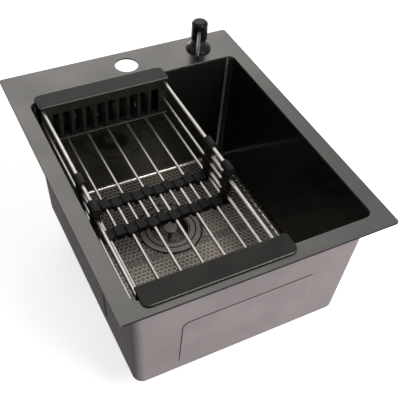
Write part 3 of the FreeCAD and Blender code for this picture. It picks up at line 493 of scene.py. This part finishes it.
def floor_tree():
    """Rows of hexagon cells on a rounded floor, left out round the drain and bent up at the floor's edge."""
    tree = bpy.data.node_groups.new("embossed cells", "GeometryNodeTree")
    tree.interface.new_socket("Geometry", in_out="OUTPUT", socket_type="NodeSocketGeometry")
    for name, kind in FLOOR_INPUTS:
        tree.interface.new_socket(name, in_out="INPUT", socket_type=f"NodeSocket{kind}")
    given = add(tree, "NodeGroupInput").outputs

    # A grid with one point for each cell
    size = add(tree, "ShaderNodeSeparateXYZ", {0: given["Size"]}).outputs
    spread = {}
    for side, step in (("X", "Pitch"), ("Y", "Row")):
        fit = add(tree, "ShaderNodeMath", {0: size[side], 1: given[step]}, operation="DIVIDE").outputs[0]
        count = add(tree, "ShaderNodeMath", {0: fit}, operation="FLOOR").outputs[0]
        span = add(tree, "ShaderNodeMath", {0: count, 1: given[step]}, operation="MULTIPLY")
        points = add(tree, "ShaderNodeMath", {0: count, 1: 1.0}, operation="ADD")
        spread[f"Size {side}"] = span.outputs[0]
        spread[f"Vertices {side}"] = points.outputs[0]
    grid = add(tree, "GeometryNodeMeshGrid", spread)

    # Every other row moves aside by half a cell
    place = add(tree, "GeometryNodeInputPosition").outputs[0]
    back = add(tree, "ShaderNodeSeparateXYZ", {0: place}).outputs["Y"]
    lane = add(tree, "ShaderNodeMath", {0: back, 1: given["Row"]}, operation="DIVIDE").outputs[0]
    row = add(tree, "ShaderNodeMath", {0: lane}, operation="ROUND").outputs[0]
    odd = add(tree, "ShaderNodeMath", {0: row, 1: 2.0}, operation="FLOORED_MODULO").outputs[0]
    half_cell = add(tree, "ShaderNodeMath", {0: given["Pitch"], 1: 2.0}, operation="DIVIDE").outputs[0]
    shift = add(tree, "ShaderNodeMath", {0: odd, 1: half_cell}, operation="MULTIPLY").outputs[0]
    aside = add(tree, "ShaderNodeCombineXYZ", {"X": shift}).outputs[0]
    staggered = add(tree, "GeometryNodeSetPosition", {"Geometry": grid.outputs[0], "Offset": aside})

    # How far a point lies beyond the rounded outline of the flat floor
    corner = add(tree, "ShaderNodeCombineXYZ", {"X": given["Corner"], "Y": given["Corner"]}).outputs[0]
    half = add(tree, "ShaderNodeVectorMath", {0: given["Size"], 1: LEVEL / 2}, operation="MULTIPLY")
    straight = add(tree, "ShaderNodeVectorMath", {0: half.outputs[0], 1: corner},
                   operation="SUBTRACT").outputs[0]
    level = add(tree, "ShaderNodeVectorMath", {0: place, 1: LEVEL}, operation="MULTIPLY").outputs[0]
    reach = add(tree, "ShaderNodeVectorMath", {0: level}, operation="ABSOLUTE").outputs[0]
    over = add(tree, "ShaderNodeVectorMath", {0: reach, 1: straight}, operation="SUBTRACT").outputs[0]
    past = add(tree, "ShaderNodeVectorMath", {0: over, 1: (0.0, 0.0, 0.0)}, operation="MAXIMUM").outputs[0]
    length = add(tree, "ShaderNodeVectorMath", {0: past}, operation="LENGTH").outputs["Value"]
    beyond = add(tree, "ShaderNodeMath", {0: length, 1: given["Corner"]}, operation="SUBTRACT").outputs[0]

    # Points outside the floor or at the drain go
    outside = add(tree, "ShaderNodeMath", {0: beyond, 1: given["Reach"]}, operation="GREATER_THAN").outputs[0]
    gap = add(tree, "ShaderNodeVectorMath", {0: place, 1: given["Drain"]}, operation="DISTANCE")
    at_drain = add(tree, "ShaderNodeMath", {0: gap.outputs["Value"], 1: given["Drain radius"]},
                   operation="LESS_THAN").outputs[0]
    left_out = add(tree, "ShaderNodeMath", {0: outside, 1: at_drain}, operation="MAXIMUM").outputs[0]
    kept = add(tree, "GeometryNodeDeleteGeometry", {"Geometry": staggered.outputs[0], "Selection": left_out},
               domain="POINT")

    # One cell: a hexagon as deep as its row, with a ridge round it and a sunk base
    radius = add(tree, "ShaderNodeMath", {0: given["Pitch"], 1: math.sqrt(3.0)}, operation="DIVIDE")
    tile = add(tree, "GeometryNodeMeshCircle", {"Vertices": 6, "Radius": radius.outputs[0]}, fill_type="NGON")
    even_row = add(tree, "ShaderNodeMath", {0: given["Pitch"], 1: math.sqrt(3.0) / 2}, operation="MULTIPLY")
    tall = add(tree, "ShaderNodeMath", {0: given["Row"], 1: even_row.outputs[0]}, operation="DIVIDE")
    upright = add(tree, "GeometryNodeTransform", {
        "Geometry": tile.outputs[0], "Rotation": (0.0, 0.0, math.pi / 2)})
    stretch = add(tree, "ShaderNodeCombineXYZ", {"X": 1.0, "Y": tall.outputs[0], "Z": 1.0}).outputs[0]
    drawn = add(tree, "GeometryNodeTransform", {"Geometry": upright.outputs[0], "Scale": stretch})
    ridge = add(tree, "GeometryNodeExtrudeMesh", {"Mesh": drawn.outputs[0], "Offset Scale": 0.0})
    ridge_top = add(tree, "GeometryNodeScaleElements", {
        "Geometry": ridge.outputs["Mesh"], "Selection": ridge.outputs["Top"], "Scale": given["Ridge share"]})
    sunk = add(tree, "ShaderNodeMath", {0: given["Depth"], 1: -1.0}, operation="MULTIPLY").outputs[0]
    cell = add(tree, "GeometryNodeExtrudeMesh", {
        "Mesh": ridge_top.outputs[0], "Selection": ridge.outputs["Top"], "Offset Scale": sunk})
    narrowed = add(tree, "ShaderNodeMath", {0: given["Base share"], 1: given["Ridge share"]},
                   operation="DIVIDE")
    cell_base = add(tree, "GeometryNodeScaleElements", {
        "Geometry": cell.outputs["Mesh"], "Selection": cell.outputs["Top"], "Scale": narrowed.outputs[0]})

    # All cells as one sheet. Its rim, where an edge has one face, gets a skirt down to the floor
    cells = add(tree, "GeometryNodeInstanceOnPoints", {
        "Points": kept.outputs[0], "Instance": cell_base.outputs[0]})
    real = add(tree, "GeometryNodeRealizeInstances", {"Geometry": cells.outputs[0]})
    joined = add(tree, "GeometryNodeMergeByDistance", {"Geometry": real.outputs[0], "Distance": CELL_JOIN})
    beside = add(tree, "GeometryNodeInputMeshEdgeNeighbors").outputs[0]
    rim = add(tree, "ShaderNodeMath", {0: beside, 1: 2.0}, operation="LESS_THAN").outputs[0]
    skirt = add(tree, "GeometryNodeExtrudeMesh", {
        "Mesh": joined.outputs[0], "Selection": rim, "Offset": (0.0, 0.0, -1.0),
        "Offset Scale": given["Depth"]}, mode="EDGES")

    # Beyond the flat floor the sheet climbs on the arc of the bend
    run = add(tree, "ShaderNodeMath", {0: beyond, 1: 0.0}, operation="MAXIMUM").outputs[0]
    furthest = add(tree, "ShaderNodeMath", {0: given["Bend"], 1: BEND_SHARE}, operation="MULTIPLY").outputs[0]
    into_bend = add(tree, "ShaderNodeMath", {0: run, 1: furthest}, operation="MINIMUM").outputs[0]
    bend_square = add(tree, "ShaderNodeMath", {0: given["Bend"], 1: 2.0}, operation="POWER").outputs[0]
    run_square = add(tree, "ShaderNodeMath", {0: into_bend, 1: 2.0}, operation="POWER").outputs[0]
    drop_square = add(tree, "ShaderNodeMath", {0: bend_square, 1: run_square}, operation="SUBTRACT")
    drop = add(tree, "ShaderNodeMath", {0: drop_square.outputs[0]}, operation="SQRT").outputs[0]
    rise = add(tree, "ShaderNodeMath", {0: given["Bend"], 1: drop}, operation="SUBTRACT").outputs[0]
    climb = add(tree, "ShaderNodeCombineXYZ", {"Z": rise}).outputs[0]
    bent = add(tree, "GeometryNodeSetPosition", {"Geometry": skirt.outputs["Mesh"], "Offset": climb})
    finished = add(tree, "GeometryNodeSetMaterial", {
        "Geometry": bent.outputs[0], "Material": given["Material"]})
    add(tree, "NodeGroupOutput", {0: finished.outputs[0]})
    return tree


def grown(name, tree, **values):
    """A plain mesh made by a tree of nodes from its named inputs."""
    holder = bpy.data.objects.new(name, bpy.data.meshes.new(name))
    bpy.context.scene.collection.objects.link(holder)
    maker = holder.modifiers.new("make", "NODES")
    maker.node_group = tree
    sockets = {item.name: item.identifier for item in tree.interface.items_tree if item.in_out == "INPUT"}
    for key, value in values.items():
        maker[sockets[key.replace("_", " ")]] = value
    settle(holder)
    return holder


def build_floor():
    """The embossed cells, laid on the bowl's floor and a little way up the bend round it."""
    piece = grown("embossed_floor", floor_tree(), Size=(2 * floor_half.x, 2 * floor_half.y, 0.0),
                  Pitch=CELL_PITCH, Row=CELL_ROW, Depth=CELL_DEPTH, Corner=FLOOR_CORNER - bend_run,
                  Reach=CELL_REACH, Bend=BOWL_BEND, Ridge_share=CELL_RIDGE_SHARE,
                  Base_share=CELL_BASE_SHARE,
                  Drain=(drain_middle.x - bowl_middle.x, drain_middle.y - bowl_middle.y, 0.0),
                  Drain_radius=drain_radius + DRAIN_MARGIN, Material=embossed_coat)
    ridge_z = floor_z + FLOOR_LIFT + CELL_DEPTH
    piece.data.transform(Matrix.Translation((bowl_middle.x, bowl_middle.y, ridge_z)))
    join_scene(piece, "sink", "coated_steel")


def lamp(name, place, aim, size, watts, tint):
    """A soft rectangular lamp that looks from its place to its aim."""
    data = bpy.data.lights.new(name, "AREA")
    data.shape = "RECTANGLE"
    data.size, data.size_y = size
    data.energy = watts
    data.color = paint(tint)[:3]
    light = bpy.data.objects.new(name, data)
    light.location = place
    light.rotation_euler = (Vector(place) - Vector(aim)).to_track_quat("Z", "Y").to_euler()
    bpy.context.scene.collection.objects.link(light)


def seen_directly(tree):
    """One where a camera, glossy or transmission ray meets the surface, and zero for light that bounces."""
    path = add(tree, "ShaderNodeLightPath").outputs
    mirrored = add(tree, "ShaderNodeMath", {0: path["Is Camera Ray"], 1: path["Is Glossy Ray"]},
                   operation="MAXIMUM")
    return add(tree, "ShaderNodeMath", {0: mirrored.outputs[0], 1: path["Is Transmission Ray"]},
               operation="MAXIMUM").outputs[0]


def studio():
    """A white surround, a paper floor that keeps the shadow, and the lamps."""
    world = bpy.data.worlds.new("studio")
    bpy.context.scene.world = world
    world.use_nodes = True
    tree = world.node_tree
    tree.nodes.clear()
    level = add(tree, "ShaderNodeMapRange", {
        "Value": seen_directly(tree), "To Min": WORLD_LIGHT, "To Max": 1.0})
    sky = add(tree, "ShaderNodeBackground", {"Color": paint("ffffff"), "Strength": level.outputs[0]})
    add(tree, "ShaderNodeOutputWorld", {"Surface": sky.outputs[0]})

    # Matte white paper, a little brighter to the eye than the lamps alone make it
    material, tree, shader, millimetres = new_material("matte white paper")
    seen = seen_directly(tree)
    tone = add(tree, "ShaderNodeMix", {
        "Factor": seen, "A": paint("6c6c6b"),
        "B": clouds(tree, millimetres, PAPER_PATCH, "f2f2f1", "f7f7f6")}, data_type="RGBA")
    tree.links.new(tone.outputs["Result"], shader.inputs["Base Color"])
    grain(tree, shader, millimetres, size=2.0, height=0.01, rough=0.9, spread=0.05)
    shader.inputs["Emission Color"].default_value = paint("ffffff")
    glow = add(tree, "ShaderNodeMapRange", {"Value": seen, "To Max": FLOOR_GLOW})
    tree.links.new(glow.outputs[0], shader.inputs["Emission Strength"])
    mesh = bpy.data.meshes.new("floor")
    corners = [(x * FLOOR_REACH, y * FLOOR_REACH, 0) for x, y in ((-1, -1), (1, -1), (1, 1), (-1, 1))]
    mesh.from_pydata(corners, [], [(0, 1, 2, 3)])
    mesh.transform(Matrix.Translation((0, 0, cad_box[0].z - FLOOR_GAP)))
    mesh.materials.append(material)
    floor = bpy.data.objects.new("floor", mesh)
    bpy.context.scene.collection.objects.link(floor)

    for name, settings in LAMPS.items():
        lamp(name, *settings)


# Gunmetal coat over brushed sheet: a satin metal with faint level brush lines and slow patches of tone
gunmetal = brushed("gunmetal coat on brushed steel", "535351", "5d5c5a", metallic=0.88, rough=0.28,
                   spread=0.02)

# The coat on the deck's outer edge, painted dark as shade: a dull dark line round the deck
edge_shade_coat = plain("gunmetal coat on the deck's edge painted dark as shade", "121111", "191717", metallic=0.3, rough=0.5, spread=0.06,
                  size=0.6, height=0.01, patch=20.0, Specular_IOR_Level=0.1)

# Paint sprayed on the outside of the bowl against condensation: matte pinkish grey with a fine pebbled skin
sprayed_coat = plain("sprayed grey paint on steel", "928b8d", "9a9395", metallic=0.0, rough=0.6,
                     spread=0.06, size=0.9, height=0.012, patch=110.0, Specular_IOR_Level=0.02)

# The gunmetal coat inside the bowl, polished and much darker: it mirrors the rack and the floor softly
# Its rounded corners carry painted highlight lines, lighter where they would mirror the lamps
dark_coat = polished_inside()

# The coat on the bend round the floor, painted lighter as a highlight: a thin line that mirrors the lamps
bend_highlight_coat = plain("coat on the bend painted lighter as a highlight", "8d8983", "a19d97", metallic=0.9, rough=0.2, spread=0.05,
                    size=0.8, height=0.006, patch=12.0)

# The coat on the pressed floor: lighter on the ridges and darker down in the cells between them, by height
embossed_coat = embossed()

# Sound-deadening pad sprayed over with the coat: softer gloss and a fine pebbled skin
sprayed_pad = plain("sprayed sound pad", "938c8e", "9b9496", metallic=0.0, rough=0.62, spread=0.05,
                    size=1.4, height=0.03, patch=40.0, Specular_IOR_Level=0.02)

# The pad's thin edge, painted dark as shade, and dull
pad_edge_shade = plain("pad edge painted dark as shade", "4f4849", "595253", metallic=0.0, rough=0.8, spread=0.06, size=1.0,
                 height=0.05, patch=40.0)

# Drain in the same coat, darker, turned on a lathe: satin rings catch the light, and the gaps between
# them are painted black as shade
drain_coat = turned()

# Moulded nitrile rubber: black, matte, a dusty bloom
rubber = plain("moulded nitrile rubber", "161615", "1f1f1e", metallic=0.0, rough=0.72, spread=0.08,
               size=0.9, height=0.02, patch=18.0)

# White polypropylene nuts and washers: moulded, waxy, slightly yellow in patches
polypropylene = plain("white polypropylene", "d6d5cf", "dfded9", metallic=0.0, rough=0.42, spread=0.06,
                      size=1.2, height=0.012, patch=22.0, Subsurface_Weight=0.05)

# Black coat on the dispenser's metal: satin, with soft lights on its round sides
black_coat = plain("black satin coat on brass", "0c0c0b", "111110", metallic=0.0, rough=0.25, spread=0.05,
                   size=0.5, height=0.004, patch=16.0, Specular_IOR_Level=0.14)

# Black acetal of the pump: moulded, smooth, dull
acetal = plain("black acetal", "191919", "212120", metallic=0.0, rough=0.45, spread=0.06, size=0.8,
               height=0.006, patch=14.0)

# Drawn spring wire: bright metal with a fine grain in its gloss
wire = plain("drawn spring wire", "a8a7a4", "bdbcb9", metallic=1.0, rough=0.22, spread=0.06, size=0.4,
             height=0.004, patch=6.0)

# Milky polyethylene bottle: blown, cloudy, light passes a little way in
polyethylene = plain("milky polyethylene", "dcdedb", "e8eae7", metallic=0.0, rough=0.38, spread=0.05,
                     size=3.0, height=0.03, patch=30.0, Subsurface_Weight=0.25, Transmission_Weight=0.15)

# Satin stainless of the spout: grey metal with a fine rubbed grain
satin_steel = plain("satin stainless steel", "484847", "525150", metallic=1.0, rough=0.3, spread=0.05,
                    size=0.5, height=0.004, patch=10.0)

# Glossy moulded ABS of the nozzle: deep black with a faint flow in its gloss
abs_tip = plain("glossy black ABS", "121211", "181817", metallic=0.0, rough=0.25, spread=0.05, size=0.6,
                height=0.004, patch=9.0)

# Moulded ABS of the rack's end frames: greyer black with a softer gloss
abs_rack = plain("black moulded ABS", "1d1e1b", "262723", metallic=0.0, rough=0.28, spread=0.05, size=0.7,
                 height=0.004, patch=26.0, Specular_IOR_Level=0.12)

# Edges of the rack's end frames that face up and to the front, painted lighter and half metallic as a
# highlight: a thin light line
abs_edge_highlight = plain("black ABS edge painted lighter as a highlight", "343432", "3d3d3a", metallic=0.45, rough=0.25, spread=0.05,
                 size=0.7, height=0.004, patch=26.0)

# The bands that the rods slide in: a deeper, duller black than the end frames
abs_band = plain("dull black ABS", "0d0c0b", "151413", metallic=0.0, rough=0.42, spread=0.06, size=0.8,
                 height=0.006, patch=20.0, Specular_IOR_Level=0.11)

# Drawn stainless rods: a light satin shine, dark where they mirror the bowl
drawn_steel = plain("drawn stainless steel", "aca8a2", "b8b4ae", metallic=0.95, rough=0.36, spread=0.05,
                    size=0.5, height=0.004, patch=15.0)

# The finish of each material slot
FINISHES = {
    "coated_steel": gunmetal, "pad_rubber": sprayed_pad, "drain_steel": drain_coat, "seal_rubber": rubber,
    "fixing_plastic": polypropylene, "dispenser_metal": black_coat, "pump_plastic": acetal,
    "spring_steel": wire, "bottle_plastic": polyethylene, "spout_steel": satin_steel,
    "nozzle_plastic": abs_tip, "rack_plastic": abs_rack, "rod_steel": drawn_steel,
}
for subpart in frame["record"]["subparts"]:
    nodes[subpart["node"]].data.materials.clear()
    nodes[subpart["node"]].data.materials.append(FINISHES[subpart["material_slot"]])

camera()
build_deck()
build_softened()
build_end_frames()
build_bowl()
build_pads()
build_spring()
build_floor()
studio()
bpy.context.scene.view_settings.view_transform = "Standard"
